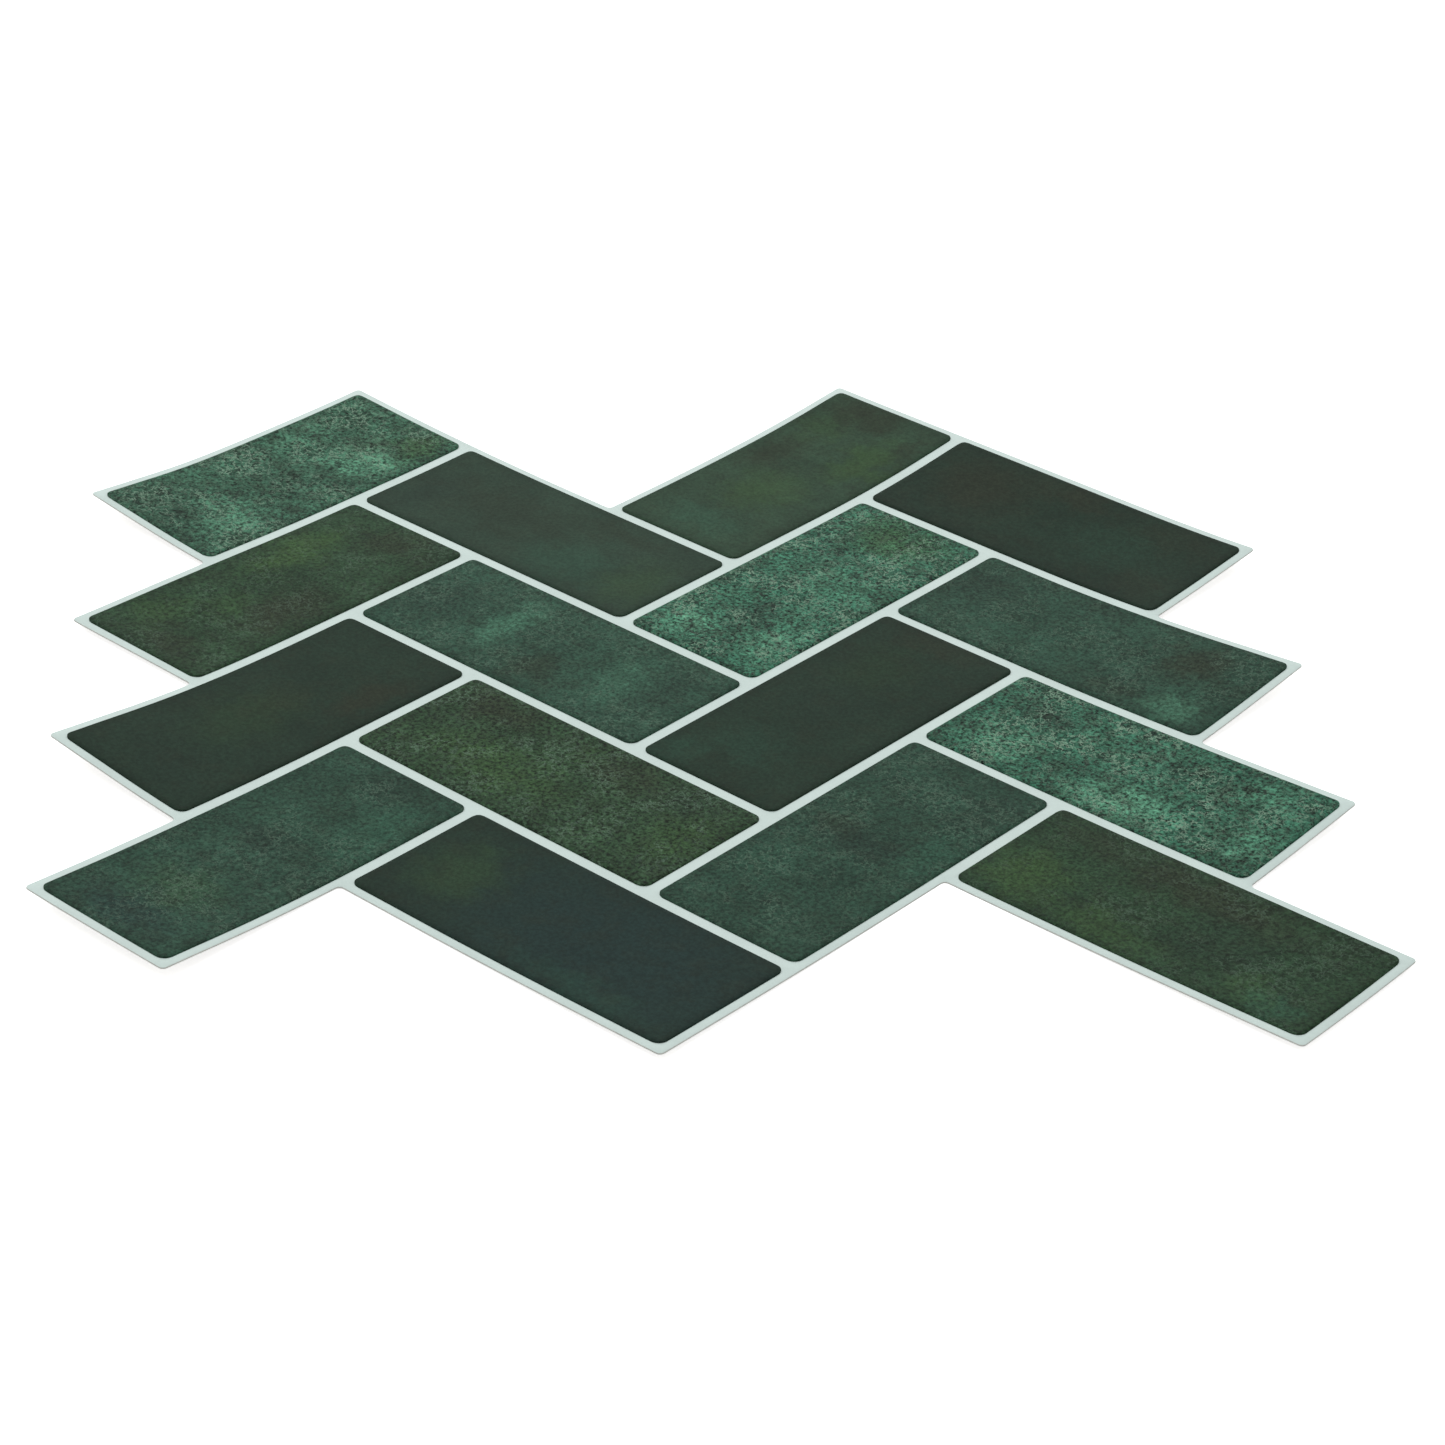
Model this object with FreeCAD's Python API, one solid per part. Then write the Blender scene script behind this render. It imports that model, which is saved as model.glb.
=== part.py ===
import FreeCAD
import Part
import math
import os

# Herringbone tile sheet.
#
# A thin, flexible backing sheet, die cut to a toothed outline, carries sixteen separate poured
# tiles in a double herringbone: four columns of four, laid at 45 degrees. The sheet lies face up,
# flat in the middle, with its outer parts curling a little off the surface under it.
#
# Millimetres. X runs across the sheet, Y away from its near edge, and Z up. The origin is on the
# underside, at the middle of the outline's box.

# Tiles
TILE_LENGTH = 89.5
TILE_WIDTH = 39.5
TILE_THICKNESS = 0.5
TILE_CORNER_RADIUS = 2.5
TILE_EDGE_BEVEL = 0.35

# Joint between neighbouring tiles
JOINT_WIDTH = 3.0

# Backing sheet, and how far it runs on past the outer tiles
BACKING_THICKNESS = 0.4
BACKING_MARGIN = 2.2
BACKING_CORNER_RADIUS = 1.2

# Each row of the pattern is one tile from each of the four columns
ROWS = 4
COLUMNS = 4

# The pattern is laid along two diagonals, this far round from X
DIAGONAL_ANGLE = 45.0

# Curl of the flexible sheet, one line for each side that stands up: the bearing of the side,
# counted from X towards Y, how far in the rise begins, and the height of its outermost point.
# A toothed side has a height for each row's tooth, from the first row to the last
CURLS = (
    (180.0, 62.0, (5.4, 1.8, 5.7, 3.2)),
    (0.0, 65.0, (4.2, 5.0, 3.3, 1.4)),
    (45.0, 59.0, (3.5,)),
    (135.0, 52.0, (2.3,)),
    (225.0, 65.0, (3.4,)),
    (315.0, 44.0, (1.1,)),
    (270.0, 65.0, (1.7,)),
    (90.0, 56.0, (2.7,)),
)

# The surface that the sheet follows: the length of one span, and how far it passes the outline
SPAN_LENGTH = 12.0
SURFACE_DEGREE = 2
SURFACE_OVERHANG = 5.0

# The flat middle that the sheet rests on is found to within this
REST_STEP = 2.0

# Taller than anything on the sheet, for the prisms that cut outlines
CUTTER_HEIGHT = 40.0

# A nearly flat tile can refuse its bevel at its own size, and takes it on a copy this much larger
BEVEL_SCALES = (1.0, 10.0, 100.0)

LENGTH_PITCH = TILE_LENGTH + JOINT_WIDTH
WIDTH_PITCH = TILE_WIDTH + JOINT_WIDTH


def cell(row, column):
    """Corner, length and width of one tile's cell, measured along the two diagonals."""
    pair, second = divmod(column, 2)
    if second:
        along = pair * LENGTH_PITCH + LENGTH_PITCH - WIDTH_PITCH
        across = pair * LENGTH_PITCH + WIDTH_PITCH
        size = (WIDTH_PITCH, LENGTH_PITCH)
    else:
        along = pair * LENGTH_PITCH
        across = pair * LENGTH_PITCH
        size = (LENGTH_PITCH, WIDTH_PITCH)
    return along - row * WIDTH_PITCH, across + row * WIDTH_PITCH, size[0], size[1]


def sheet_point(along, across):
    """X and Y of a point given along the two diagonals."""
    turn = math.radians(DIAGONAL_ANGLE)
    x = (along + across) * math.cos(turn)
    y = (along - across) * math.sin(turn)
    return x, y


def tile_corners(row, column, growth):
    """The four corners of a tile's rectangle, grown on every side."""
    along, across, length, width = cell(row, column)
    inset = JOINT_WIDTH / 2 - growth
    low_a, high_a = along + inset, along + length - inset
    low_b, high_b = across + inset, across + width - inset
    pairs = ((low_a, low_b), (low_a, high_b), (high_a, high_b), (high_a, low_b))
    return [sheet_point(a, b) for a, b in pairs]


def all_tiles():
    return [(row, column) for row in range(ROWS) for column in range(COLUMNS)]


def outline_centre():
    """Middle of the box round the backing, which becomes the origin."""
    points = []
    for row, column in all_tiles():
        points += tile_corners(row, column, BACKING_MARGIN)
    xs = [x for x, y in points]
    ys = [y for x, y in points]
    return (min(xs) + max(xs)) / 2, (min(ys) + max(ys)) / 2


CENTRE_X, CENTRE_Y = outline_centre()


def placed_corners(row, column, growth):
    return [(x - CENTRE_X, y - CENTRE_Y) for x, y in tile_corners(row, column, growth)]


def backing_points():
    """Every corner of the grown tile rectangles, about the origin."""
    points = []
    for row, column in all_tiles():
        points += placed_corners(row, column, BACKING_MARGIN)
    return points


def reach(bearing):
    """How far the backing reaches from the origin in one direction."""
    turn = math.radians(bearing)
    return max(x * math.cos(turn) + y * math.sin(turn) for x, y in backing_points())


def tooth(row, bearing):
    """How far round a side one row's outermost corner is."""
    turn = math.radians(bearing)
    corners = []
    for column in range(COLUMNS):
        corners += placed_corners(row, column, BACKING_MARGIN)
    x, y = max(corners, key=lambda c: c[0] * math.cos(turn) + c[1] * math.sin(turn))
    return y * math.cos(turn) - x * math.sin(turn)


def side(bearing, run, heights):
    """One curled side: its direction, reach and run, and its heights from end to end."""
    turn = math.radians(bearing)
    if len(heights) == 1:
        stations = [(0.0, heights[0])]
    else:
        stations = [(tooth(row, bearing), height) for row, height in enumerate(heights)]
    return math.cos(turn), math.sin(turn), reach(bearing), run, sorted(stations)


SIDES = [side(*curl) for curl in CURLS]


def height_at(stations, place):
    """Height of a side's edge, straight from one station to the next."""
    if place <= stations[0][0]:
        return stations[0][1]
    for (start, first), (end, last) in zip(stations, stations[1:]):
        if place <= end:
            return first + (last - first) * (place - start) / (end - start)
    return stations[-1][1]


def lie_height(x, y):
    """Height of the sheet's underside above the surface it rests on."""
    highest = 0.0
    for out_x, out_y, far, run, stations in SIDES:
        inward = max(0.0, far - (x * out_x + y * out_y))
        rise = max(0.0, 1.0 - inward / run)
        top = height_at(stations, y * out_x - x * out_y)
        highest = max(highest, top * rise * rise)
    return highest


def spline_axis(half_length):
    """Knots over one direction of the surface, and the places of its poles."""
    spans = max(4, round(2 * half_length / SPAN_LENGTH))
    knots = [half_length * (2 * i / spans - 1) for i in range(spans + 1)]
    full = [knots[0]] * SURFACE_DEGREE + knots + [knots[-1]] * SURFACE_DEGREE
    count = len(full) - SURFACE_DEGREE - 1
    poles = [sum(full[i + 1:i + 1 + SURFACE_DEGREE]) / SURFACE_DEGREE for i in range(count)]
    mults = [SURFACE_DEGREE + 1] + [1] * (spans - 1) + [SURFACE_DEGREE + 1]
    return knots, mults, poles


def lie_surface():
    """The smooth surface that the sheet's underside follows."""
    half_x = reach(0.0) + SURFACE_OVERHANG
    half_y = reach(90.0) + SURFACE_OVERHANG
    x_knots, x_mults, x_poles = spline_axis(half_x)
    y_knots, y_mults, y_poles = spline_axis(half_y)
    poles = [[FreeCAD.Vector(x, y, lie_height(x, y)) for y in y_poles] for x in x_poles]
    surface = Part.BSplineSurface()
    surface.buildFromPolesMultsKnots(
        poles, x_mults, y_mults, x_knots, y_knots, False, False, SURFACE_DEGREE, SURFACE_DEGREE
    )
    return surface


def patch_under(surface, corners):
    """The part of the surface that reaches a little past some corners."""
    xs = [x for x, y in corners]
    ys = [y for x, y in corners]
    patch = surface.copy()
    patch.segment(
        min(xs) - SURFACE_OVERHANG / 2,
        max(xs) + SURFACE_OVERHANG / 2,
        min(ys) - SURFACE_OVERHANG / 2,
        max(ys) + SURFACE_OVERHANG / 2,
    )
    return patch


def slab(surface, bottom, thickness):
    """A sheet of even thickness that follows the surface, raised by bottom."""
    skin = surface.toShape()
    skin.translate(FreeCAD.Vector(0, 0, bottom))
    return skin.extrude(FreeCAD.Vector(0, 0, thickness))


def prism(corners, bottom, height):
    """An upright prism on a closed polygon."""
    points = [FreeCAD.Vector(x, y, bottom) for x, y in corners]
    face = Part.Face(Part.makePolygon(points + points[:1]))
    return face.extrude(FreeCAD.Vector(0, 0, height))


def upright_edges(solid):
    """The straight edges of a prism that run along Z."""
    found = []
    for edge in solid.Edges:
        start, end = edge.Vertexes[0].Point, edge.Vertexes[-1].Point
        if abs(start.x - end.x) + abs(start.y - end.y) < 1e-6:
            found.append(edge)
    return found


def rounded_tile_prism(row, column, bottom, height):
    """The tile's outline with its four rounded corners, as a prism."""
    body = prism(placed_corners(row, column, 0.0), bottom, height)
    return body.makeFillet(TILE_CORNER_RADIUS, upright_edges(body))


def lies_flat(surface, corners):
    return all(surface.value(x, y).z < 1e-9 for x, y in corners)


def top_face(solid):
    """The upper of a sheet-like solid's two broad faces."""
    broad = sorted(solid.Faces, key=lambda face: face.Area)[-2:]
    return max(broad, key=lambda face: face.CenterOfMass.z)


def bevelled_at(body, scale):
    """A tile with its upper rim bevelled, worked at another size and brought back."""
    large = body.copy()
    if scale > 1:
        large.scale(scale)
    large = large.makeChamfer(TILE_EDGE_BEVEL * scale, top_face(large).OuterWire.Edges)
    if scale > 1:
        large.scale(1 / scale)
    return large


def bevelled(body):
    """A tile with its upper rim bevelled, at the first size that takes the bevel."""
    for scale in BEVEL_SCALES[:-1]:
        try:
            return bevelled_at(body, scale)
        except Part.OCCError:
            print("bevel refused at size", scale)
    return bevelled_at(body, BEVEL_SCALES[-1])


def tile(surface, row, column):
    """One poured tile on the backing."""
    corners = placed_corners(row, column, 0.0)
    if lies_flat(surface, corners):
        body = rounded_tile_prism(row, column, BACKING_THICKNESS, TILE_THICKNESS)
    else:
        cutter = rounded_tile_prism(row, column, -CUTTER_HEIGHT / 2, CUTTER_HEIGHT)
        bent = slab(patch_under(surface, corners), BACKING_THICKNESS, TILE_THICKNESS)
        body = bent.common(cutter).Solids[0]
    return bevelled(body)


def backing_prism():
    """The toothed outline: every tile's rectangle grown by the margin, joined into one."""
    plates = []
    for row, column in all_tiles():
        corners = placed_corners(row, column, BACKING_MARGIN)
        plates.append(prism(corners, -CUTTER_HEIGHT / 2, CUTTER_HEIGHT))
    joined = plates[0].multiFuse(plates[1:]).removeSplitter()
    return joined.makeFillet(BACKING_CORNER_RADIUS, upright_edges(joined))


def begins_to_curl(half_x, half_y):
    signs = ((1, 1), (1, -1), (-1, 1), (-1, -1))
    return any(lie_height(a * half_x, b * half_y) > 0 for a, b in signs)


def rest_box():
    """The exactly flat middle that the sheet rests on, clear of every curl."""
    smoothing = SPAN_LENGTH * (SURFACE_DEGREE + 1) / 2
    half_x, half_y = reach(0.0), reach(90.0)
    while begins_to_curl(half_x + smoothing, half_y + smoothing):
        half_x -= REST_STEP
        half_y -= REST_STEP
    box = Part.makeBox(2 * half_x, 2 * half_y, BACKING_THICKNESS)
    box.translate(FreeCAD.Vector(-half_x, -half_y, 0))
    return box


def backing(surface):
    """The one-piece backing sheet, exactly flat in the middle."""
    curled = slab(surface, 0.0, BACKING_THICKNESS).common(backing_prism())
    middle = rest_box()
    return curled.cut(middle).fuse(middle).Solids[0]


def main():
    os.makedirs("parts", exist_ok=True)
    surface = lie_surface()
    backing(surface).exportStep("parts/backing_sheet.step")
    for row, column in all_tiles():
        name = f"tile_row{row + 1}_column{column + 1}"
        tile(surface, row, column).exportStep(f"parts/{name}.step")


main()
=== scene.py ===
import math

import bmesh
import bpy
from bpy.props import FloatProperty, FloatVectorProperty, PointerProperty
from bpy.types import Operator, Panel, PropertyGroup
from mathutils import Matrix, Vector


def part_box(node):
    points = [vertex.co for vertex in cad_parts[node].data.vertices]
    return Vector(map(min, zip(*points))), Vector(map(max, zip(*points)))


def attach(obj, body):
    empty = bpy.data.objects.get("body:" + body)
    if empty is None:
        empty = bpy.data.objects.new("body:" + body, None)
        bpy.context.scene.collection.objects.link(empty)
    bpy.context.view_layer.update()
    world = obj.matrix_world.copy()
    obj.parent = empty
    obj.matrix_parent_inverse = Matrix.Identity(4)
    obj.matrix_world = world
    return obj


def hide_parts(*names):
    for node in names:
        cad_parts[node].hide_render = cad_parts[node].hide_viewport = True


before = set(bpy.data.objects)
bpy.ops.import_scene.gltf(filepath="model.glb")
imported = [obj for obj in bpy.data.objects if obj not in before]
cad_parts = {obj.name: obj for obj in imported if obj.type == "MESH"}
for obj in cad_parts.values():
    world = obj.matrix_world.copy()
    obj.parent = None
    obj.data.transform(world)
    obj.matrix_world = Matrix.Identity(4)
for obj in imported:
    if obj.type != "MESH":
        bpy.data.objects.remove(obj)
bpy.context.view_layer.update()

bl_info = {
    "name": "Herringbone Tile Sheet",
    "version": (1, 0, 0),
    "blender": (4, 5, 0),
    "location": "3D Viewport > Sidebar > Tile Sheet",
    "description": "Finishes a packed herringbone tile sheet: printed film, gel tiles and studio",
    "category": "Add Mesh",
}

MM = 0.001
BODY = "root"
BACKING_NODE = "backing_sheet"
ROWS = 4
COLUMNS = 4

# Curl of the flexible sheet, a line for each side that stands up: the bearing of the side,
# counted from X towards Y, how far in the rise begins, and the height of its outermost point.
# A toothed side has a height for each row's tooth, from the first row to the last
CURLS = (
    (180.0, 62.0, (5.4, 1.8, 5.7, 3.2)),
    (0.0, 65.0, (4.2, 5.0, 3.3, 1.4)),
    (45.0, 59.0, (3.5,)),
    (135.0, 52.0, (2.3,)),
    (225.0, 65.0, (3.4,)),
    (315.0, 44.0, (1.1,)),
    (270.0, 65.0, (1.7,)),
    (90.0, 56.0, (2.7,)),
)
CURL_BLEND = 6.0

# Length over which the curled surface is softened
SPAN = 12.0 * MM

# Cuts near a tile's rim that let the gel sink, as distances in from it, in millimetres
RIM_CUTS = (0.4, 0.6, 0.8, 1.05)

# Half the width of the square that the backing is cut from, and of the one its bend cuts span
BLANK_HALF = 0.3
BEND_HALF = 0.16

# Heights and places that differ by less than the first are the same, and corners of the cut
# blank that lie nearer together than the second are joined
TOUCHING = 1e-7
SAME_CORNER = 0.05 * MM

# How far upwards a face of the backing looks: less than the first is its underside, and less
# than the second its cut edge
UNDERSIDE = -0.7
CUT_EDGE = 0.9

# Edges sharper than this stay crisp in the shading
SHARP_ANGLE = math.radians(35.0)

# Painted shade at a tile's rim: the share of the print's tone that is left at the rim, and the
# millimetres over which the painted shade darkens it
PAINTED_RIM_SHADE = 0.84
PAINTED_RIM_SHADE_RUN = 4.5

# How far noise moves the outline of a patch, along and across a tile, in millimetres
RAGGEDNESS = (26.0, 26.0, 0.0)

# Range that noise seldom leaves
NOISE_LOW = 0.3
NOISE_HIGH = 0.7

# The photograph's view: where the camera stands, what it looks at, and how far it leans
CAMERA_PLACE = Vector((-0.0579, -0.7544, 0.4338))
CAMERA_TARGET = Vector((0.0067, -0.0197, 0.0))
CAMERA_LEAN = math.radians(2.21)

# The studio: half the floor's width, the side of the square lamp, and where the lamp hangs
FLOOR_HALF = 8.0
LAMP_SIZE = 2.6
LAMP_PLACE = Vector((-0.25, 0.75, 1.3))

# Prints: the record's material slot, the size of the clouds in millimetres, how strongly the
# tone drifts, mottles, blotches and grains, how much dark fleck and pale thread there is, and
# the finish
PRINTS = {
    "emerald": {
        "slot": "tile_emerald", "cloud": 14.0, "drift": 0.2, "mottle": 0.4, "blotch": 0.45,
        "grain": 0.85, "flecks": 0.85, "threads": 0.85, "relief": 0.03, "roughness": 0.5,
    },
    "jade": {
        "slot": "tile_emerald", "cloud": 14.0, "drift": 0.2, "mottle": 0.45, "blotch": 0.45,
        "grain": 0.95, "flecks": 1.0, "threads": 1.0, "relief": 0.04, "roughness": 0.5,
    },
    "teal": {
        "slot": "tile_teal", "cloud": 16.0, "drift": 0.16, "mottle": 0.25, "blotch": 0.18,
        "grain": 0.5, "flecks": 0.35, "threads": 0.25, "relief": 0.012, "roughness": 0.45,
    },
    "slate": {
        "slot": "tile_teal", "cloud": 20.0, "drift": 0.1, "mottle": 0.2, "blotch": 0.1,
        "grain": 0.18, "flecks": 0.0, "threads": 0.0, "relief": 0.004, "roughness": 0.4,
    },
    "olive": {
        "slot": "tile_olive", "cloud": 15.0, "drift": 0.18, "mottle": 0.3, "blotch": 0.2,
        "grain": 0.52, "flecks": 0.35, "threads": 0.2, "relief": 0.012, "roughness": 0.45,
    },
    "fern": {
        "slot": "tile_olive", "cloud": 15.0, "drift": 0.16, "mottle": 0.3, "blotch": 0.22,
        "grain": 0.8, "flecks": 0.5, "threads": 0.35, "relief": 0.02, "roughness": 0.45,
    },
    "moss": {
        "slot": "tile_olive", "cloud": 18.0, "drift": 0.14, "mottle": 0.25, "blotch": 0.13,
        "grain": 0.22, "flecks": 0.0, "threads": 0.0, "relief": 0.006, "roughness": 0.42,
    },
    "blackgreen": {
        "slot": "tile_blackgreen", "cloud": 22.0, "drift": 0.12, "mottle": 0.25, "blotch": 0.1,
        "grain": 0.22, "flecks": 0.0, "threads": 0.0, "relief": 0.004, "roughness": 0.4,
    },
}

# Each tile's print: its kind, its seed, its lightness, and its soft patches. A patch is a tone,
# its middle along and across the tile, its reach along and across, in millimetres, and its strength
TILES = {
    (1, 1): ("emerald", 3.0, 0.92, (
        ("mint", 20, -9, 11, 11, 0.8), ("mint", -27, -7, 8, 14, 0.5), ("ink", -38, 6, 9, 14, 0.4),
        ("ink", 2, 2, 12, 16, 0.3), ("umber", 27, -3, 8, 8, 0.4), ("leaf", 36, -12, 12, 8, 0.5),
        ("mint", 10, 12, 14, 5, 0.3),
    )),
    (1, 2): ("slate", 8.0, 1.0, (
        ("petrol", 17, -8, 16, 12, 0.3), ("umber", -15, 2, 26, 12, 0.3), ("umber", 16, 12, 16, 6, 0.3),
        ("leaf", 36, -4, 9, 14, 0.25), ("ink", -36, -6, 9, 14, 0.4),
    )),
    (1, 3): ("moss", 12.0, 1.0, (
        ("leaf", -10, 0, 14, 12, 0.4), ("leaf", 18, -10, 16, 8, 0.5), ("leaf", 26, 10, 10, 8, 0.3),
        ("umber", 8, 12, 14, 7, 0.5), ("umber", 38, 5, 9, 14, 0.6), ("petrol", -34, 0, 9, 14, 0.35),
        ("umber", 32, -16, 10, 4, 0.4),
    )),
    (1, 4): ("blackgreen", 17.0, 0.92, (
        ("umber", -26, 4, 16, 16, 0.6), ("umber", -4, 14, 14, 7, 0.6), ("petrol", 16, -2, 18, 12, 0.16),
        ("umber", 30, 12, 16, 8, 0.3), ("umber", 34, -12, 10, 8, 0.3),
    )),
    (2, 1): ("olive", 21.0, 1.0, (
        ("leaf", 16, 10, 18, 8, 0.7), ("umber", -8, -10, 16, 9, 0.7), ("umber", -38, -2, 8, 12, 0.5),
        ("umber", 36, -4, 10, 9, 0.6), ("leaf", -28, 10, 12, 7, 0.35), ("leaf", -16, 2, 8, 6, 0.3),
    )),
    (2, 2): ("teal", 26.0, 1.12, (
        ("mint", -14, 2, 5, 16, 0.3), ("mint", 24, 0, 9, 12, 0.15), ("umber", 4, -10, 10, 9, 0.5),
        ("ink", 34, 2, 9, 15, 0.4), ("ink", -34, 0, 9, 12, 0.3),
    )),
    (2, 3): ("jade", 31.0, 1.03, (
        ("mint", -34, 10, 9, 8, 0.6), ("mint", -28, -12, 12, 8, 0.4), ("leaf", 34, 0, 12, 16, 0.5),
        ("ink", -22, -1, 12, 7, 0.5), ("mint", 6, -4, 12, 12, 0.25), ("ink", 22, 10, 12, 7, 0.3),
    )),
    (2, 4): ("teal", 36.0, 1.0, (
        ("umber", 25, 6, 9, 12, 0.7), ("mint", 33, -13, 8, 6, 0.35), ("petrol", -12, -8, 20, 8, 0.3),
        ("ink", -34, 6, 10, 10, 0.4), ("umber", 16, -14, 10, 5, 0.3),
    )),
    (3, 1): ("blackgreen", 41.0, 0.97, (
        ("umber", 20, -12, 14, 7, 0.7), ("umber", 4, 2, 10, 8, 0.3), ("leaf", -6, 2, 18, 12, 0.15),
        ("ink", -34, -4, 10, 14, 0.3),
    )),
    (3, 2): ("fern", 46.0, 1.0, (
        ("leaf", -14, -6, 24, 10, 0.45), ("leaf", 37, 0, 9, 14, 0.35), ("umber", -30, 13, 12, 7, 0.6),
        ("umber", 12, 12, 12, 8, 0.5), ("ink", 30, 12, 10, 7, 0.35), ("leaf", 0, 10, 5, 6, 0.2),
    )),
    (3, 3): ("blackgreen", 51.0, 1.0, (
        ("petrol", -26, 2, 10, 12, 0.2), ("petrol", -38, 14, 8, 6, 0.25), ("ink", 2, 4, 14, 12, 0.2),
        ("umber", 41, 0, 7, 14, 0.5), ("leaf", 22, 4, 16, 12, 0.1),
    )),
    (3, 4): ("jade", 56.0, 0.95, (
        ("mint", 6, -12, 14, 9, 0.75), ("mint", 37, -8, 9, 10, 0.45), ("mint", -30, -10, 12, 8, 0.45),
        ("ink", -30, 8, 10, 8, 0.5), ("ink", 10, 8, 12, 7, 0.5), ("ink", 24, 2, 5, 12, 0.3),
        ("mint", 30, 10, 9, 6, 0.35),
    )),
    (4, 1): ("teal", 61.0, 1.0, (
        ("ink", 4, 4, 5, 14, 0.6), ("night", -37, 0, 9, 16, 0.6), ("leaf", -22, 0, 9, 12, 0.25),
        ("petrol", 24, -14, 20, 8, 0.5), ("ink", 39, -4, 8, 12, 0.35),
    )),
    (4, 2): ("blackgreen", 66.0, 1.0, (
        ("night", 14, 0, 60, 36, 0.85), ("leaf", -30, 0, 12, 14, 0.3), ("petrol", 18, -16, 22, 5, 0.2),
    )),
    (4, 3): ("teal", 71.0, 0.97, (
        ("ink", 2, 1, 6, 14, 0.6), ("umber", 6, 10, 6, 6, 0.4), ("petrol", 6, -14, 14, 6, 0.5),
        ("petrol", -20, 10, 14, 8, 0.25), ("ink", 30, -12, 12, 6, 0.35),
    )),
    (4, 4): ("olive", 76.0, 0.92, (
        ("leaf", -34, -8, 12, 12, 0.6), ("leaf", -10, -14, 16, 7, 0.4), ("petrol", 34, -14, 8, 6, 0.5),
        ("leaf", 27, -12, 9, 6, 0.3), ("umber", 0, 12, 30, 8, 0.65), ("umber", -32, 15, 10, 5, 0.4),
        ("ink", 14, 0, 16, 12, 0.3),
    )),
}


def colour(red, green, blue):
    """A linear colour from the usual 0 to 255 values."""
    return tuple(_linear(value / 255) for value in (red, green, blue))


def _linear(value):
    return value / 12.92 if value <= 0.04045 else ((value + 0.055) / 1.055) ** 2.4


def length_setting(label, text, millimetres):
    return FloatProperty(
        name=label, description=text, default=millimetres * MM, unit="LENGTH", precision=5
    )


def colour_setting(label, text, red, green, blue):
    return FloatVectorProperty(
        name=label, description=text, default=colour(red, green, blue), subtype="COLOR", min=0, max=1
    )


class TileSheetSizes(PropertyGroup):
    tile_length: length_setting("Tile Length", "Length of one tile", 89.5)
    tile_width: length_setting("Tile Width", "Width of one tile", 39.5)
    tile_thickness: length_setting("Tile Thickness", "Height of a tile above the backing", 0.5)
    tile_corner: length_setting("Tile Corner", "Radius of a tile's four corners", 2.5)
    tile_rim: length_setting("Tile Rim", "Radius of the rounding along a tile's upper rim", 0.2)
    tile_sag: length_setting("Tile Sag", "How far the gel sinks towards a tile's rim", 0.28)
    tile_sag_run: length_setting("Tile Sag Run", "How far in from the rim the gel begins to sink", 1.4)
    backing_thickness: length_setting("Backing Thickness", "Thickness of the backing sheet", 0.4)
    backing_margin: length_setting("Backing Margin", "How far the backing passes the tiles", 2.2)
    backing_corner: length_setting("Backing Corner", "Radius of the backing's corners", 1.2)
    backing_rim: length_setting("Backing Rim", "Rounding along the backing's upper edge", 0.25)
    bend_step: length_setting("Bend Step", "Distance between cuts that let a piece bend", 5.0)


class TileSheetColours(PropertyGroup):
    film: colour_setting("Film", "Printed face of the backing", 206, 222, 217)
    cut_edge: colour_setting("Cut Edge", "Bare edge of the backing, where it is die cut", 205, 208, 202)
    liner: colour_setting("Liner", "Paper on the back of the sheet", 226, 222, 211)
    emerald: colour_setting("Emerald", "Main tone of the emerald tiles", 56, 96, 76)
    teal: colour_setting("Teal", "Main tone of the teal tiles", 41, 70, 56)
    slate: colour_setting("Slate", "Main tone of the smooth grey-green tile", 44, 64, 51)
    olive: colour_setting("Olive", "Main tone of the olive tiles", 40, 65, 44)
    moss: colour_setting("Moss", "Main tone of the smooth olive tile", 47, 70, 53)
    jade: colour_setting("Jade", "Main tone of the liveliest tiles", 50, 97, 77)
    fern: colour_setting("Fern", "Main tone of the grainy olive tile", 42, 66, 44)
    blackgreen: colour_setting("Black Green", "Main tone of the darkest tiles", 32, 51, 39)
    mint: colour_setting("Mint Patch", "Brightest patches", 86, 142, 114)
    leaf: colour_setting("Leaf Patch", "Yellowish green patches", 58, 86, 46)
    petrol: colour_setting("Petrol Patch", "Bluish green patches", 48, 88, 70)
    umber: colour_setting("Umber Patch", "Brownish dark patches", 42, 47, 34)
    ink: colour_setting("Ink Patch", "Nearly black patches", 32, 48, 40)
    night: colour_setting("Night Patch", "Bluish black patches", 30, 50, 48)
    thread: colour_setting("Thread", "Pale threads in the rougher prints", 128, 158, 136)


class TileSheetStudio(PropertyGroup):
    lamp_power: FloatProperty(
        name="Lamp Power", description="Power of the overhead lamp", default=22.6, unit="POWER"
    )
    sky: FloatProperty(
        name="Sky", description="Strength of the even light from all round", default=0.5
    )
    floor: colour_setting("Floor", "Colour of the studio floor", 236, 236, 236)
    floor_glow: FloatProperty(
        name="Floor Glow", description="What whitens the floor where it is seen", default=0.7
    )
    lens: FloatProperty(name="Lens", description="Focal length in millimetres", default=91.69)


# Meshes

def tile_node(row, column):
    return f"tile_row{row}_column{column}"


def tile_place(row, column):
    """Middle of a tile, from the frame, and the way its length runs."""
    low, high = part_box(tile_node(row, column))
    angle = math.radians(45.0) if column % 2 else math.radians(-45.0)
    return (low + high) / 2, angle


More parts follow.
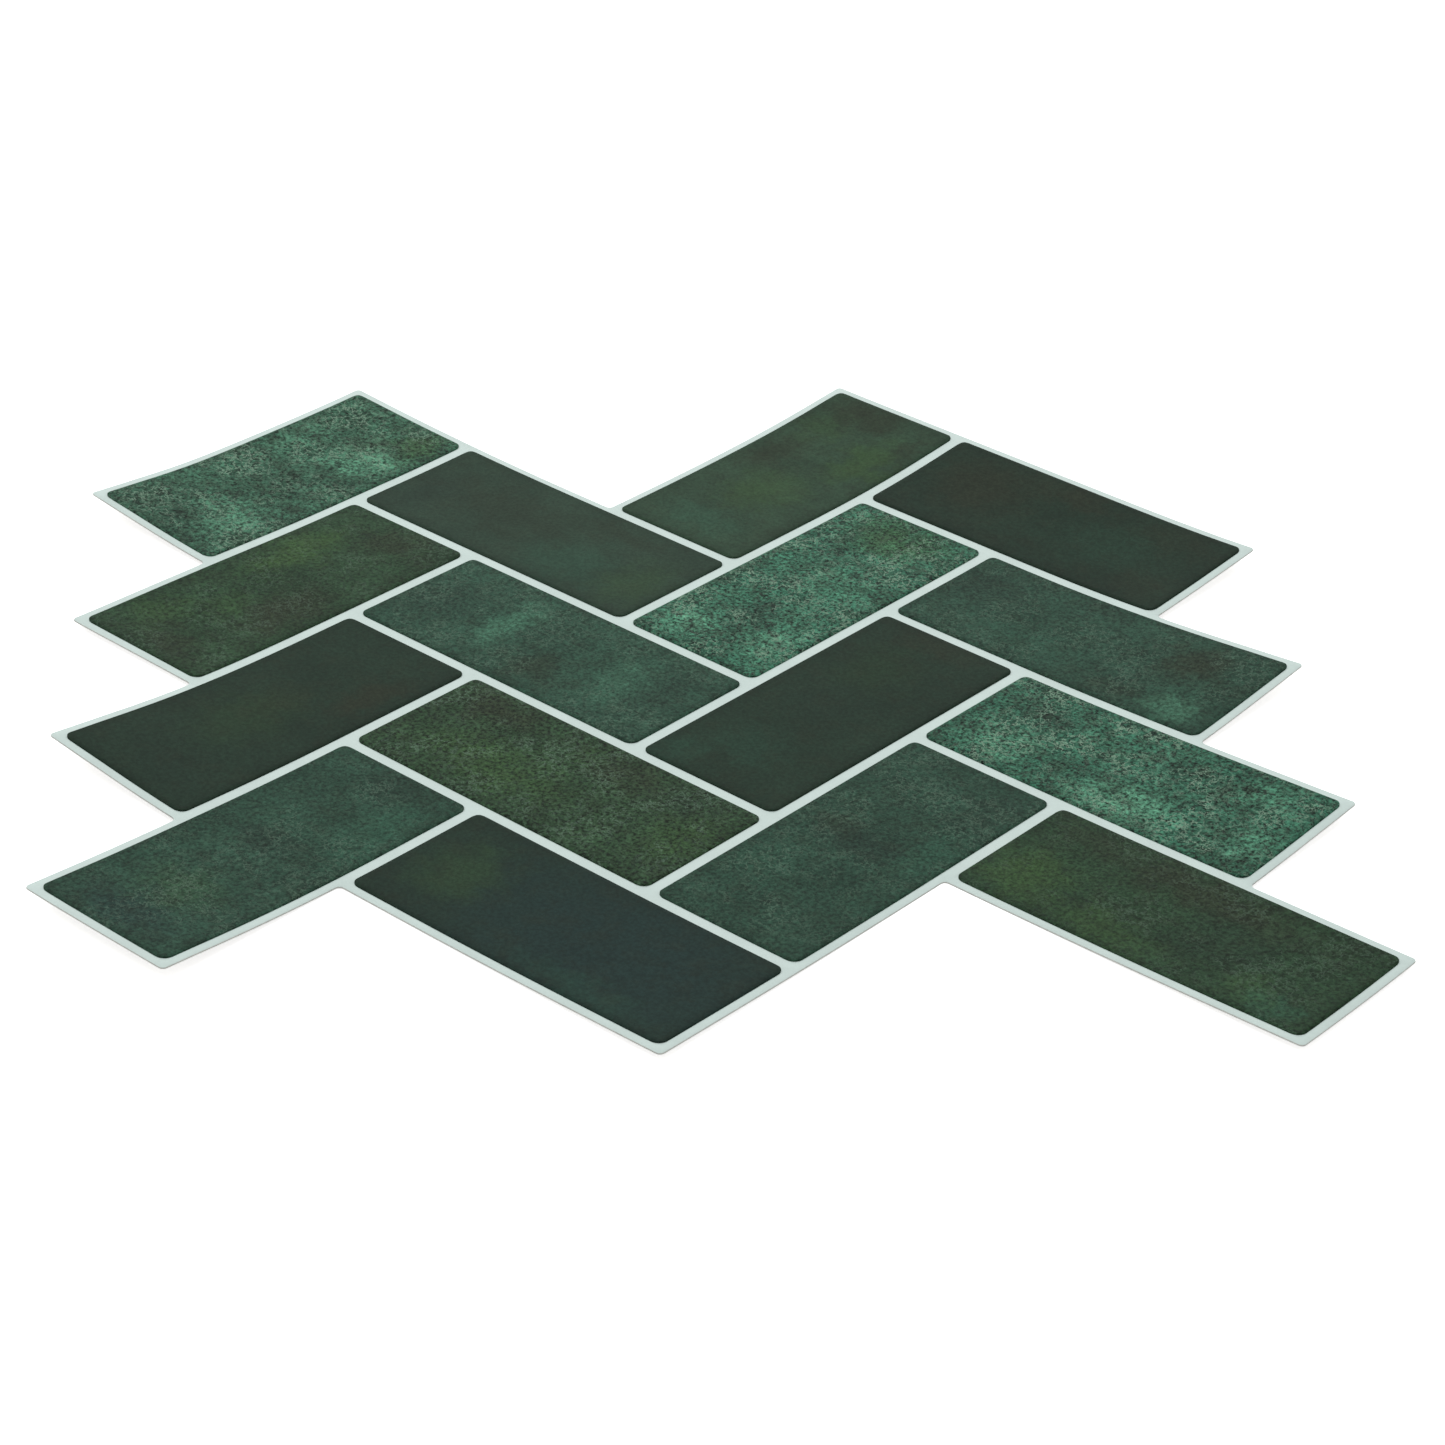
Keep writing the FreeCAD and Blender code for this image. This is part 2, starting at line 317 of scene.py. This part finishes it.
def plate_corners(row, column, sizes):
    """Corners of one tile's rectangle, grown by the backing's margin."""
    centre, angle = tile_place(row, column)
    turn = Matrix.Rotation(angle, 2)
    half_length = sizes.tile_length / 2 + sizes.backing_margin
    half_width = sizes.tile_width / 2 + sizes.backing_margin
    signs = ((1, 1), (1, -1), (-1, 1), (-1, -1))
    return [centre.xy + turn @ Vector((a * half_length, b * half_width)) for a, b in signs]


def curled_side(bearing, run, heights, sizes):
    """One curled side: its direction, reach and run, and its heights from end to end."""
    turn = math.radians(bearing)
    towards = Vector((math.cos(turn), math.sin(turn)))
    sideways = Vector((-towards.y, towards.x))
    tips = []
    for row in range(1, ROWS + 1):
        corners = [c for column in range(1, COLUMNS + 1) for c in plate_corners(row, column, sizes)]
        tips.append(max(corners, key=towards.dot))
    far = max(tip.dot(towards) for tip in tips)
    if len(heights) == 1:
        stations = [(0.0, heights[0] * MM)]
    else:
        stations = sorted((tip.dot(sideways), height * MM) for tip, height in zip(tips, heights))
    return towards, sideways, far, run * MM, stations


def curled_sides(sizes):
    return [curled_side(*curl, sizes) for curl in CURLS]


def height_at(stations, place):
    """Height of a side's edge, passing softly from one station to the next."""
    if place <= stations[0][0]:
        return stations[0][1]
    for (start, first), (end, last) in zip(stations, stations[1:]):
        if place <= end:
            share = (place - start) / (end - start)
            return first + (last - first) * share * share * (3 - 2 * share)
    return stations[-1][1]


def blended_height(place, sides):
    """Height of the curls at one place, with neighbouring curls blended."""
    total = 0.0
    for towards, sideways, reach, run, stations in sides:
        inward = max(0.0, reach - place.dot(towards))
        rise = max(0.0, 1.0 - inward / run)
        top = height_at(stations, place.dot(sideways))
        total += (top / MM * rise * rise) ** CURL_BLEND
    return total ** (1.0 / CURL_BLEND) * MM


def lie_height(point, sides):
    """Height of the sheet's underside above the floor, softened over one span as the CAD's is."""
    weights = ((-SPAN, 0.125), (0.0, 0.75), (SPAN, 0.125))
    height = 0.0
    for x, share_x in weights:
        for y, share_y in weights:
            height += share_x * share_y * blended_height(point.xy + Vector((x, y)), sides)
    return height


def bend(bm, sides):
    """Lets a flat piece follow the curl of the sheet."""
    for vert in bm.verts:
        vert.co.z += lie_height(vert.co, sides)


def round_edges(bm, edges, radius, segments):
    bmesh.ops.bevel(
        bm, geom=edges, offset=radius, offset_type="OFFSET", affect="EDGES",
        segments=segments, profile=0.5, material=-1, clamp_overlap=True,
    )


def upright_edges(bm):
    return [e for e in bm.edges if (e.verts[0].co.xy - e.verts[1].co.xy).length < TOUCHING]


def level_edges(bm, height):
    """Edges round the outline at one height."""
    found = []
    for edge in bm.edges:
        at_height = all(abs(vert.co.z - height) < TOUCHING for vert in edge.verts)
        upright_neighbour = any(abs(face.normal.z) < 0.5 for face in edge.link_faces)
        if at_height and upright_neighbour:
            found.append(edge)
    return found


def cut(bm, point, normal):
    whole = bm.verts[:] + bm.edges[:] + bm.faces[:]
    bmesh.ops.bisect_plane(bm, geom=whole, dist=TOUCHING, plane_co=point, plane_no=normal)


def cut_lines(half, sizes):
    """Even cuts over one side of a tile, with closer ones near its two ends."""
    inner = half - sizes.tile_sag_run
    count = max(1, round(2 * inner / sizes.bend_step))
    places = [inner * (2 * i / count - 1) for i in range(count + 1)]
    for inset in RIM_CUTS:
        places += [half - inset * MM, inset * MM - half]
    return places


def sink_rim(bm, sizes):
    """The gel's surface sinks a little towards the rim, as a poured drop's does."""
    half_length, half_width = sizes.tile_length / 2, sizes.tile_width / 2
    for vert in bm.verts:
        share = vert.co.z / sizes.tile_thickness
        for inset in (half_length - abs(vert.co.x), half_width - abs(vert.co.y)):
            near = max(0.0, 1.0 - inset / sizes.tile_sag_run)
            vert.co.z -= sizes.tile_sag * near ** 3 * share


def finish_piece(bm, name, materials):
    """Turns a bmesh into a shaded object at the origin."""
    mesh = bpy.data.meshes.new(name)
    bmesh.ops.recalc_face_normals(bm, faces=bm.faces)
    bm.to_mesh(mesh)
    bm.free()
    mesh.shade_smooth()
    mesh.set_sharp_from_angle(angle=SHARP_ANGLE)
    for material in materials:
        mesh.materials.append(material)
    piece = bpy.data.objects.new(name, mesh)
    bpy.context.scene.collection.objects.link(piece)
    return piece


def tile_mesh(row, column, sizes, sides):
    """One gel tile: rounded corners, a soft rim, a sunken edge, and the bend of the sheet."""
    bm = bmesh.new()
    size = Matrix.Diagonal((sizes.tile_length, sizes.tile_width, sizes.tile_thickness, 1))
    lift = Matrix.Translation((0, 0, sizes.tile_thickness / 2))
    bmesh.ops.create_cube(bm, size=1.0, matrix=lift @ size)
    round_edges(bm, upright_edges(bm), sizes.tile_corner, segments=8)
    round_edges(bm, level_edges(bm, sizes.tile_thickness), sizes.tile_rim, segments=5)
    for x in cut_lines(sizes.tile_length / 2, sizes):
        cut(bm, (x, 0, 0), (1, 0, 0))
    for y in cut_lines(sizes.tile_width / 2, sizes):
        cut(bm, (0, y, 0), (0, 1, 0))
    sink_rim(bm, sizes)
    centre, angle = tile_place(row, column)
    place = Matrix.Translation((centre.x, centre.y, sizes.backing_thickness))
    bm.transform(place @ Matrix.Rotation(angle, 4, "Z"))
    bend(bm, sides)
    return bm


def grown_tile(row, column, sizes):
    """Middle and half sizes of a tile grown by the backing's margin, along the diagonals."""
    centre, angle = tile_place(row, column)
    flat = Matrix.Rotation(math.radians(-45.0), 2) @ centre.xy
    half_long = sizes.tile_length / 2 + sizes.backing_margin
    half_short = sizes.tile_width / 2 + sizes.backing_margin
    return flat, (half_long, half_short) if angle > 0 else (half_short, half_long)


def backing_mesh(sizes, sides):
    """The toothed backing: a plate cut along every tile's margin, with what is outside removed."""
    plates = [grown_tile(row, column, sizes) for row, column in TILES]
    bm = bmesh.new()
    bmesh.ops.create_grid(bm, x_segments=1, y_segments=1, size=BLANK_HALF)
    for middle, half in plates:
        for side in (-1, 1):
            cut(bm, (middle.x + side * half[0], 0, 0), (1, 0, 0))
            cut(bm, (0, middle.y + side * half[1], 0), (0, 1, 0))
    outside = [face for face in bm.faces if not on_a_plate(face.calc_center_median(), plates)]
    bmesh.ops.delete(bm, geom=outside, context="FACES")
    bmesh.ops.remove_doubles(bm, verts=bm.verts, dist=SAME_CORNER)
    bmesh.ops.dissolve_limit(bm, angle_limit=math.radians(1), verts=bm.verts, edges=bm.edges)
    straight = [vert for vert in bm.verts if lies_on_a_line(vert)]
    bmesh.ops.dissolve_verts(bm, verts=straight)
    made = bmesh.ops.extrude_face_region(bm, geom=bm.faces[:])
    raised = [item for item in made["geom"] if isinstance(item, bmesh.types.BMVert)]
    bmesh.ops.translate(bm, verts=raised, vec=(0, 0, sizes.backing_thickness))
    bmesh.ops.recalc_face_normals(bm, faces=bm.faces)
    round_edges(bm, upright_edges(bm), sizes.backing_corner, segments=5)
    round_edges(bm, level_edges(bm, sizes.backing_thickness), sizes.backing_rim, segments=2)
    bm.transform(Matrix.Rotation(math.radians(45.0), 4, "Z"))
    count = round(2 * BEND_HALF / sizes.bend_step)
    for i in range(count + 1):
        place = BEND_HALF * (2 * i / count - 1)
        cut(bm, (place, 0, 0), (1, 0, 0))
        cut(bm, (0, place, 0), (0, 1, 0))
    bend(bm, sides)
    for face in bm.faces:
        if face.normal.z < UNDERSIDE:
            face.material_index = 1
        elif face.normal.z < CUT_EDGE:
            face.material_index = 2
    return bm


def lies_on_a_line(vert):
    """Whether a vertex of the outline has its two neighbours in line with it."""
    ends = [edge.other_vert(vert).co - vert.co for edge in vert.link_edges]
    return len(ends) == 2 and ends[0].angle(ends[1]) > math.radians(179)


def on_a_plate(point, plates):
    for middle, half in plates:
        if abs(point.x - middle.x) < half[0] and abs(point.y - middle.y) < half[1]:
            return True
    return False


# Materials

class Mix:
    """A material under construction, with short ways to add and join its nodes."""

    def __init__(self, name):
        self.material = bpy.data.materials.new(name)
        self.material.use_nodes = True
        self.tree = self.material.node_tree
        self.surface = self.tree.nodes["Principled BSDF"]
        self.space = self.node("ShaderNodeTexCoord").outputs["Object"]

    def node(self, kind, **settings):
        made = self.tree.nodes.new(kind)
        for key, value in settings.items():
            setattr(made, key, value)
        return made

    def put(self, socket, value):
        """Joins a socket to another one, or sets it to a plain value."""
        if isinstance(value, bpy.types.NodeSocket):
            self.tree.links.new(value, socket)
        else:
            socket.default_value = value

    def placed(self, centre, angle):
        """Object coordinates turned and moved to lie along a piece, in millimetres."""
        mapping = self.node("ShaderNodeMapping", vector_type="TEXTURE")
        self.put(mapping.inputs["Vector"], self.space)
        mapping.inputs["Location"].default_value = centre
        mapping.inputs["Rotation"].default_value = (0, 0, angle)
        mapping.inputs["Scale"].default_value = (MM, MM, MM)
        return mapping.outputs["Vector"]

    def noise(self, where, size, detail, seed, roughness=0.5, output="Fac"):
        """Cloudy noise whose features are about size millimetres across."""
        made = self.node("ShaderNodeTexNoise", noise_dimensions="4D")
        self.put(made.inputs["Vector"], where)
        made.inputs["W"].default_value = seed
        made.inputs["Scale"].default_value = 1.0 / size
        made.inputs["Detail"].default_value = detail
        made.inputs["Roughness"].default_value = roughness
        return made.outputs[output]

    def ramp(self, value, start, end, low, high, smooth=True):
        """Carries a value from start and end to low and high, held at both ends."""
        made = self.node("ShaderNodeMapRange", clamp=True)
        made.interpolation_type = "SMOOTHSTEP" if smooth else "LINEAR"
        self.put(made.inputs["Value"], value)
        for name, limit in (("From Min", start), ("From Max", end), ("To Min", low), ("To Max", high)):
            self.put(made.inputs[name], limit)
        return made.outputs["Result"]

    def spread(self, noise, low, high):
        """Carries the usual range of noise to low and high."""
        return self.ramp(noise, NOISE_LOW, NOISE_HIGH, low, high)

    def math(self, operation, first, second):
        made = self.node("ShaderNodeMath", operation=operation)
        self.put(made.inputs[0], first)
        self.put(made.inputs[1], second)
        return made.outputs[0]

    def vector(self, operation, *values):
        made = self.node("ShaderNodeVectorMath", operation=operation)
        for socket, value in zip(made.inputs, values):
            self.put(socket, value)
        return made.outputs["Value" if operation == "LENGTH" else "Vector"]

    def blend(self, factor, first, second, kind="MIX"):
        """One colour laid over another, on the inputs that a Mix node keeps for colours."""
        made = self.node("ShaderNodeMix", data_type="RGBA", blend_type=kind)
        self.put(made.inputs[0], factor)
        for socket, value in ((made.inputs[6], first), (made.inputs[7], second)):
            self.put(socket, value if isinstance(value, bpy.types.NodeSocket) else (*value, 1.0))
        return made.outputs[2]

    def scaled(self, tone, value):
        """A colour multiplied by a number."""
        made = self.node("ShaderNodeVectorMath", operation="SCALE")
        self.put(made.inputs[0], tone)
        self.put(made.inputs["Scale"], value)
        return made.outputs["Vector"]

    def relief(self, height, depth):
        """Fine relief, depth millimetres from its lowest to its highest point."""
        made = self.node("ShaderNodeBump")
        made.inputs["Strength"].default_value = 1.0
        made.inputs["Distance"].default_value = depth * MM
        self.put(made.inputs["Height"], height)
        self.put(self.surface.inputs["Normal"], made.outputs["Normal"])

    def gloss(self, roughness, specular):
        self.put(self.surface.inputs["Roughness"], roughness)
        self.surface.inputs["Specular IOR Level"].default_value = specular

    def coat(self, weight, roughness):
        """A thin clear layer over the rest."""
        self.surface.inputs["Coat Weight"].default_value = weight
        self.surface.inputs["Coat Roughness"].default_value = roughness


def tile_material(row, column, sizes, colours):
    """The print under the gel: drifting tone, soft patches, grain, flecks, threads, and painted shade
    darkening it towards the rim.
    """
    kind, seed, lightness, patches = TILES[(row, column)]
    recipe = PRINTS[kind]
    mix = Mix(f"print_{kind}_row{row}_column{column}")
    centre, angle = tile_place(row, column)
    place = mix.placed((centre.x, centre.y, 0.0), angle)
    main = getattr(colours, kind)
    drift = mix.noise(place, recipe["cloud"], detail=3.0, seed=seed, roughness=0.55)
    low, high = lightness * (1 - recipe["drift"]), lightness * (1 + recipe["drift"])
    tone = mix.scaled(tuple(main), mix.spread(drift, low, high))
    tone = patchy_tone(mix, place, seed, patches, colours, tone)
    mottle = mix.noise(place, 5.0, detail=6.0, seed=seed + 8.0, roughness=0.72)
    tone = mix.blend(mix.ramp(mottle, 0.44, 0.66, 0.0, recipe["mottle"]), tone, tuple(colours.umber))
    grain = mix.noise(place, 1.0, detail=3.0, seed=seed + 2.0, roughness=0.75)
    blotch = mix.noise(place, 4.0, detail=5.0, seed=seed + 3.0, roughness=0.65)
    for pattern, reach, depth in ((blotch, 0.2, recipe["blotch"]), (grain, 0.12, recipe["grain"])):
        shade = mix.ramp(pattern, 0.5 - reach, 0.5 + reach, 1 - depth, 1 + depth, smooth=False)
        tone = mix.scaled(tone, shade)
    if recipe["flecks"]:
        tone = flecked_tone(mix, place, seed, recipe["flecks"], colours.ink, tone)
    if recipe["threads"]:
        tone = threaded_tone(mix, place, seed, recipe["threads"], colours.thread, tone)
    # Painted shade: the tone darkens towards every rim of the tile
    tone = mix.scaled(tone, painted_rim_shade(mix, place, sizes))
    mix.put(mix.surface.inputs["Base Color"], tone)
    smoothest, roughest = recipe["roughness"] - 0.05, recipe["roughness"] + 0.05
    mix.gloss(mix.spread(blotch, smoothest, roughest), specular=0.0)
    mix.coat(weight=0.11, roughness=0.2)
    mix.relief(grain, depth=recipe["relief"])
    return mix.material


def patchy_tone(mix, place, seed, patches, colours, tone):
    """Soft patches with ragged outlines, laid over the drifting tone."""
    ragged = mix.noise(place, 7.0, detail=6.0, seed=seed + 1.0, roughness=0.72, output="Color")
    push = mix.vector("SUBTRACT", ragged, (0.5, 0.5, 0.5))
    moved = mix.vector("MULTIPLY_ADD", push, RAGGEDNESS, place)
    for name, along, across, reach_along, reach_across, strength in patches:
        squeeze = (1 / reach_along, 1 / reach_across, 0.0)
        shift = (-along / reach_along, -across / reach_across, 0.0)
        away = mix.vector("LENGTH", mix.vector("MULTIPLY_ADD", moved, squeeze, shift))
        cover = mix.ramp(away, 0.2, 1.25, strength, 0.0)
        tone = mix.blend(cover, tone, tuple(getattr(colours, name)))
    return tone


def flecked_tone(mix, place, seed, strength, dark, tone):
    """Small dark flecks, crowded in some places and few in others."""
    dots = mix.noise(place, 1.3, detail=2.0, seed=seed + 6.0, roughness=0.6)
    crowd = mix.noise(place, 9.0, detail=3.0, seed=seed + 7.0)
    flecks = mix.ramp(dots, 0.47, 0.36, 0.0, strength)
    cover = mix.math("MULTIPLY", flecks, mix.ramp(crowd, 0.4, 0.6, 0.25, 1.0))
    return mix.blend(cover, tone, tuple(dark))


def threaded_tone(mix, place, seed, strength, pale, tone):
    """Thin pale threads that come and go."""
    ridges = mix.noise(place, 2.2, detail=3.0, seed=seed + 4.0, roughness=0.65)
    crowd = mix.noise(place, 12.0, detail=2.0, seed=seed + 5.0)
    off_ridge = mix.math("ABSOLUTE", mix.math("SUBTRACT", ridges, 0.5), 0.0)
    line = mix.ramp(off_ridge, 0.0, 0.035, strength, 0.0)
    cover = mix.math("MULTIPLY", line, mix.ramp(crowd, 0.42, 0.62, 0.15, 1.0))
    return mix.blend(cover, tone, tuple(pale))


def painted_rim_shade(mix, place, sizes):
    """Painted shade: how much the print's tone is darkened towards a tile's rim, over its last few
    millimetres.
    """
    split = mix.node("ShaderNodeSeparateXYZ")
    mix.put(split.inputs[0], place)
    insets = []
    for axis, size in (("X", sizes.tile_length), ("Y", sizes.tile_width)):
        distance = mix.math("ABSOLUTE", split.outputs[axis], 0.0)
        insets.append(mix.math("SUBTRACT", size / 2 / MM, distance))
    return mix.ramp(mix.math("MINIMUM", *insets), 0.0, PAINTED_RIM_SHADE_RUN, PAINTED_RIM_SHADE, 1.0)


def film_material(colours):
    """Satin printed film, with a very faint drift in its tone."""
    mix = Mix("printed_film")
    place = mix.placed((0.0, 0.0, 0.0), 0.0)
    drift = mix.noise(place, 9.0, detail=3.0, seed=1.0)
    grain = mix.noise(place, 0.8, detail=3.0, seed=2.0)
    tone = mix.scaled(tuple(colours.film), mix.spread(drift, 0.97, 1.03))
    tone = mix.scaled(tone, mix.spread(grain, 0.98, 1.02))
    mix.put(mix.surface.inputs["Base Color"], tone)
    mix.gloss(mix.spread(grain, 0.5, 0.6), specular=0.2)
    mix.relief(grain, depth=0.01)
    return mix.material


def cut_edge_material(colours):
    """Bare, slightly fibrous edge of the sheet, where it was die cut."""
    mix = Mix("cut_edge")
    place = mix.placed((0.0, 0.0, 0.0), 0.0)
    fibres = mix.noise(place, 1.5, detail=4.0, seed=8.0, roughness=0.6)
    tone = mix.scaled(tuple(colours.cut_edge), mix.spread(fibres, 0.88, 1.08))
    mix.put(mix.surface.inputs["Base Color"], tone)
    mix.gloss(mix.spread(fibres, 0.6, 0.75), specular=0.2)
    mix.relief(fibres, depth=0.01)
    return mix.material


def liner_material(colours):
    """Release paper on the back, with short fibres in it."""
    mix = Mix("release_paper")
    place = mix.placed((0.0, 0.0, 0.0), math.radians(20.0))
    lengthwise = mix.vector("MULTIPLY", place, (1.0, 0.3, 1.0))
    fibres = mix.noise(lengthwise, 0.5, detail=4.0, seed=5.0, roughness=0.6)
    clouds = mix.noise(place, 14.0, detail=3.0, seed=6.0)
    tone = mix.scaled(tuple(colours.liner), mix.spread(fibres, 0.94, 1.04))
    tone = mix.scaled(tone, mix.spread(clouds, 0.97, 1.02))
    mix.put(mix.surface.inputs["Base Color"], tone)
    mix.gloss(mix.spread(fibres, 0.62, 0.75), specular=0.3)
    mix.relief(fibres, depth=0.02)
    return mix.material


# Studio

def seen_directly(tree):
    """One where the camera, a reflection or a clear piece shows a surface, and zero elsewhere."""
    path = tree.nodes.new("ShaderNodeLightPath")
    seen = path.outputs["Is Camera Ray"]
    for ray in ("Is Glossy Ray", "Is Transmission Ray"):
        either = tree.nodes.new("ShaderNodeMath")
        either.operation = "MAXIMUM"
        tree.links.new(seen, either.inputs[0])
        tree.links.new(path.outputs[ray], either.inputs[1])
        seen = either.outputs[0]
    return seen


def floor_material(studio):
    """A pale floor that the camera sees as white, and that keeps the object's shadow."""
    material = bpy.data.materials.new("studio_floor")
    material.use_nodes = True
    tree = material.node_tree
    tree.nodes.clear()
    paint = tree.nodes.new("ShaderNodeBsdfDiffuse")
    paint.inputs["Color"].default_value = (*studio.floor, 1.0)
    glow = tree.nodes.new("ShaderNodeEmission")
    glow.inputs["Strength"].default_value = studio.floor_glow
    both = tree.nodes.new("ShaderNodeAddShader")
    chosen = tree.nodes.new("ShaderNodeMixShader")
    output = tree.nodes.new("ShaderNodeOutputMaterial")
    join = tree.links.new
    join(paint.outputs[0], both.inputs[0])
    join(glow.outputs[0], both.inputs[1])
    join(seen_directly(tree), chosen.inputs[0])
    join(paint.outputs[0], chosen.inputs[1])
    join(both.outputs[0], chosen.inputs[2])
    join(chosen.outputs[0], output.inputs[0])
    return material


def make_floor(studio):
    bm = bmesh.new()
    bmesh.ops.create_grid(bm, x_segments=1, y_segments=1, size=FLOOR_HALF)
    mesh = bpy.data.meshes.new("floor")
    bm.to_mesh(mesh)
    bm.free()
    mesh.materials.append(floor_material(studio))
    floor = bpy.data.objects.new("floor", mesh)
    bpy.context.scene.collection.objects.link(floor)


def make_world(studio):
    """Even light from all round, seen as white by the camera and in reflections."""
    world = bpy.data.worlds.new("studio_sky")
    bpy.context.scene.world = world
    world.use_nodes = True
    tree = world.node_tree
    tree.nodes.clear()
    lit = tree.nodes.new("ShaderNodeBackground")
    lit.inputs["Strength"].default_value = studio.sky
    seen = tree.nodes.new("ShaderNodeBackground")
    seen.inputs["Strength"].default_value = 1.0
    for background in (lit, seen):
        background.inputs["Color"].default_value = (1.0, 1.0, 1.0, 1.0)
    chosen = tree.nodes.new("ShaderNodeMixShader")
    output = tree.nodes.new("ShaderNodeOutputWorld")
    join = tree.links.new
    join(seen_directly(tree), chosen.inputs[0])
    join(lit.outputs[0], chosen.inputs[1])
    join(seen.outputs[0], chosen.inputs[2])
    join(chosen.outputs[0], output.inputs[0])


def make_lamp(studio):
    """A broad lamp above and behind the sheet."""
    data = bpy.data.lights.new("overhead_lamp", "AREA")
    data.shape = "SQUARE"
    data.size = LAMP_SIZE
    data.energy = studio.lamp_power
    lamp = bpy.data.objects.new("overhead_lamp", data)
    lamp.location = LAMP_PLACE
    lamp.rotation_euler = (-LAMP_PLACE).to_track_quat("-Z", "Y").to_euler()
    bpy.context.scene.collection.objects.link(lamp)


def make_camera(studio):
    """The photograph's view."""
    data = bpy.data.cameras.new("camera")
    data.sensor_width = 36.0
    data.lens = studio.lens
    data.clip_start = 0.01
    data.clip_end = 50.0
    camera = bpy.data.objects.new("camera", data)
    facing = (CAMERA_TARGET - CAMERA_PLACE).to_track_quat("-Z", "Y").to_matrix().to_4x4()
    lean = Matrix.Rotation(CAMERA_LEAN, 4, "Z")
    camera.matrix_world = Matrix.Translation(CAMERA_PLACE) @ facing @ lean
    bpy.context.scene.collection.objects.link(camera)
    bpy.context.scene.camera = camera


# Operators and panel

class TILESHEET_OT_backing(Operator):
    """Builds the backing sheet: printed film above, release paper below, and its cut edge."""

    bl_idname = "tilesheet.backing"
    bl_label = "Build Backing Sheet"

    def execute(self, context):
        sizes = context.scene.tile_sheet_sizes
        colours = context.scene.tile_sheet_colours
        bm = backing_mesh(sizes, curled_sides(sizes))
        materials = [film_material(colours), liner_material(colours), cut_edge_material(colours)]
        piece = finish_piece(bm, "film_backing", materials)
        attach(piece, BODY)
        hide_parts(BACKING_NODE)
        return {"FINISHED"}


class TILESHEET_OT_tiles(Operator):
    """Pours the sixteen gel tiles onto the backing."""

    bl_idname = "tilesheet.tiles"
    bl_label = "Pour Tiles"

    def execute(self, context):
        sizes = context.scene.tile_sheet_sizes
        colours = context.scene.tile_sheet_colours
        sides = curled_sides(sizes)
        for (row, column), (kind, *_) in TILES.items():
            bm = tile_mesh(row, column, sizes, sides)
            material = tile_material(row, column, sizes, colours)
            piece = finish_piece(bm, f"gel_tile_row{row}_column{column}", [material])
            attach(piece, BODY)
            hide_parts(tile_node(row, column))
        return {"FINISHED"}


class TILESHEET_OT_studio(Operator):
    """Sets up the floor, the light and the camera."""

    bl_idname = "tilesheet.studio"
    bl_label = "Set Up Studio"

    def execute(self, context):
        studio = context.scene.tile_sheet_studio
        make_floor(studio)
        make_world(studio)
        make_lamp(studio)
        make_camera(studio)
        context.scene.view_settings.view_transform = "Standard"
        return {"FINISHED"}


class TILESHEET_PT_panel(Panel):
    """Lists the steps that build the sheet, with their settings."""

    bl_idname = "TILESHEET_PT_panel"
    bl_label = "Herringbone Tile Sheet"
    bl_space_type = "VIEW_3D"
    bl_region_type = "UI"
    bl_category = "Tile Sheet"

    def draw(self, context):
        scene = context.scene
        steps = (
            (TILESHEET_OT_backing, scene.tile_sheet_sizes),
            (TILESHEET_OT_tiles, scene.tile_sheet_colours),
            (TILESHEET_OT_studio, scene.tile_sheet_studio),
        )
        for step, settings in steps:
            box = self.layout.box()
            for name in settings.__annotations__:
                box.prop(settings, name)
            box.operator(step.bl_idname)


CLASSES = (
    TileSheetSizes,
    TileSheetColours,
    TileSheetStudio,
    TILESHEET_OT_backing,
    TILESHEET_OT_tiles,
    TILESHEET_OT_studio,
    TILESHEET_PT_panel,
)


def register():
    for item in CLASSES:
        bpy.utils.register_class(item)
    bpy.types.Scene.tile_sheet_sizes = PointerProperty(type=TileSheetSizes)
    bpy.types.Scene.tile_sheet_colours = PointerProperty(type=TileSheetColours)
    bpy.types.Scene.tile_sheet_studio = PointerProperty(type=TileSheetStudio)


def unregister():
    del bpy.types.Scene.tile_sheet_studio
    del bpy.types.Scene.tile_sheet_colours
    del bpy.types.Scene.tile_sheet_sizes
    for item in reversed(CLASSES):
        bpy.utils.unregister_class(item)


def main():
    register()
    bpy.ops.tilesheet.backing()
    bpy.ops.tilesheet.tiles()
    bpy.ops.tilesheet.studio()
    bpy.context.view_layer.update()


if __name__ == "__main__":
    main()
